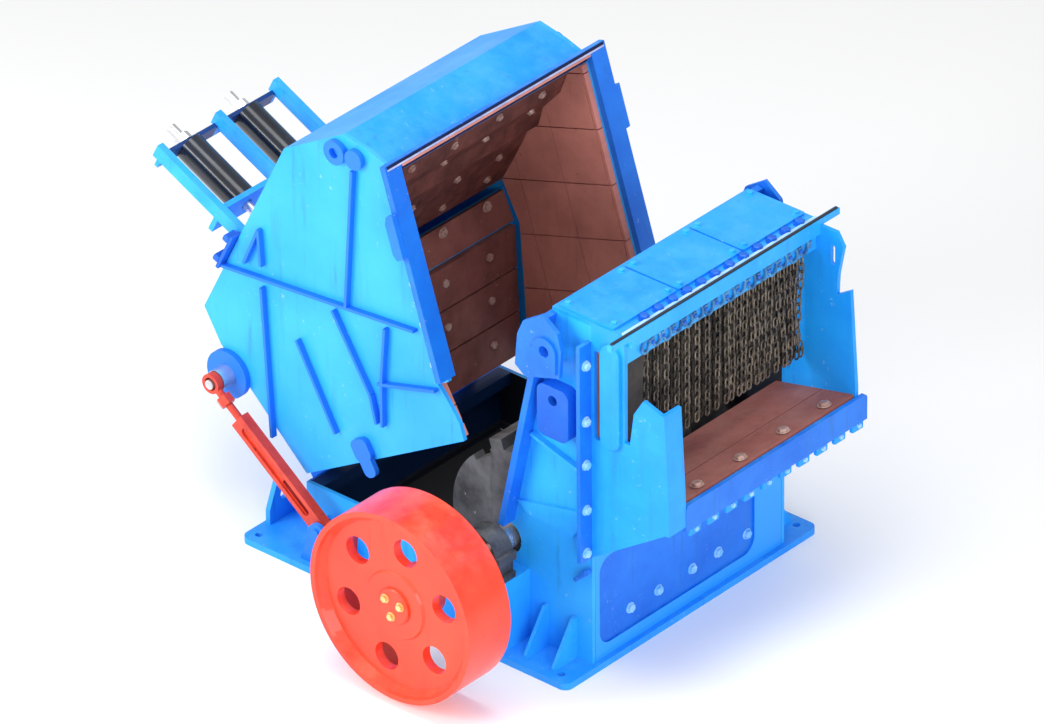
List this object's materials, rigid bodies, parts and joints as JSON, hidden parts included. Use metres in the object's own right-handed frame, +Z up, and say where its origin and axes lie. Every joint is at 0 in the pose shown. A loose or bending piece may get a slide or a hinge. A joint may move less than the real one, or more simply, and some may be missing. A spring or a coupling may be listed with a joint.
{
  "type": "impact crusher",
  "caption": "Impact crusher with a rotor and belt pulley, chain-curtained feed inlet, and a rear upper housing turned open to show its liners and apron.",
  "frame": {"origin": "centre of the base bolt pattern on the underside of the floor flange", "axes": "+Z up, +X towards the feed inlet, +Y away from the belt pulley"},
  "size_m": [2.9905, 2.232, 2.0911],
  "materials": {
    "blue_paint": "satin",
    "deep_blue_paint": "satin",
    "red_paint": "satin",
    "liner_steel": "matte",
    "rotor_iron": "matte",
    "chain_steel": "worn",
    "black_sleeve": "gloss",
    "bright_steel": "satin"
  },
  "bodies": {
    "frame": {"base_flange": "blue_paint", "near_side_wall": "blue_paint", "far_side_wall": "blue_paint", "base_rear_wall": "deep_blue_paint", "base_front_wall": "deep_blue_paint", "corner_posts": "deep_blue_paint", "front_rim": "deep_blue_paint", "top_deck": "blue_paint", "deck_covers": "blue_paint", "joint_ears": "deep_blue_paint", "clamp_blocks": "deep_blue_paint", "far_cheek": "blue_paint", "near_cheek": "blue_paint", "near_wing": "blue_paint", "chute_floor": "blue_paint", "chute_liner": "liner_steel", "lip_flange": "deep_blue_paint", "lintel": "blue_paint", "hood_rail": "blue_paint", "chain_curtain": "chain_steel", "front_liners": "liner_steel", "hinge_brackets": "deep_blue_paint", "strut_bracket": "deep_blue_paint", "near_bearing": "rotor_iron", "far_bearing": "rotor_iron"},
    "rotor": {"rotor_shaft": "bright_steel", "rotor_discs": "rotor_iron", "blow_bars": "rotor_iron", "pulley": "red_paint", "pulley_bush": "bright_steel", "hub_cap": "red_paint"},
    "rear_housing": {"rear_near_side": "blue_paint", "rear_far_side": "blue_paint", "rear_near_skirt": "blue_paint", "rear_far_skirt": "blue_paint", "rear_top_plate": "blue_paint", "rear_back_plate": "blue_paint", "rear_front_rim": "deep_blue_paint", "back_wall": "blue_paint", "back_liners": "liner_steel", "far_side_liners": "liner_steel", "near_side_liners": "liner_steel", "apron_shaft": "bright_steel", "spring_frame": "blue_paint", "spring_sleeves": "black_sleeve", "rear_knuckles": "deep_blue_paint", "strut_pin": "bright_steel"},
    "apron": {"impact_apron": "liner_steel"},
    "spring_rods": {"tie_rods": "bright_steel"},
    "strut_lower": {"strut_tube": "red_paint"},
    "strut_upper": {"strut_rod": "red_paint"}
  },
  "joints": [
    {"name": "rotor_spin", "type": "hinge", "parent": "frame", "child": "rotor", "pos_m": [0.43, 0, 0.475], "axis": [0, 1, 0], "continuous": true},
    {"name": "housing_turn", "type": "hinge", "parent": "frame", "child": "rear_housing", "pos_m": [-0.758, 0, 0.299], "axis": [0, 1, 0], "range_deg": [0, 30]},
    {"name": "apron_swing", "type": "hinge", "parent": "rear_housing", "child": "apron", "pos_m": [-0.33061, 0, 1.97874], "axis": [0, 1, 0], "range_deg": [0, 3]},
    {"name": "rod_slide", "type": "slide", "parent": "rear_housing", "child": "spring_rods", "axis": [-0.8935, 0, 0.4491], "range_m": [0, 0.0505]},
    {"name": "strut_tilt", "type": "hinge", "parent": "frame", "child": "strut_lower", "pos_m": [-0.5, -0.745, 0.19], "axis": [0, 1, 0], "range_deg": [0, 20.1]},
    {"name": "strut_screw", "type": "slide", "parent": "strut_lower", "child": "strut_upper", "axis": [-0.7899, 0, 0.6132], "range_m": [-0.0615, 0]}
  ],
  "couplings": [
    {"joint": "strut_tilt", "follows": "housing_turn", "ratio": 0.66741},
    {"joint": "strut_screw", "follows": "housing_turn", "m_per_rad": -0.11715},
    {"joint": "rod_slide", "follows": "apron_swing", "m_per_rad": 0.9624}
  ]
}
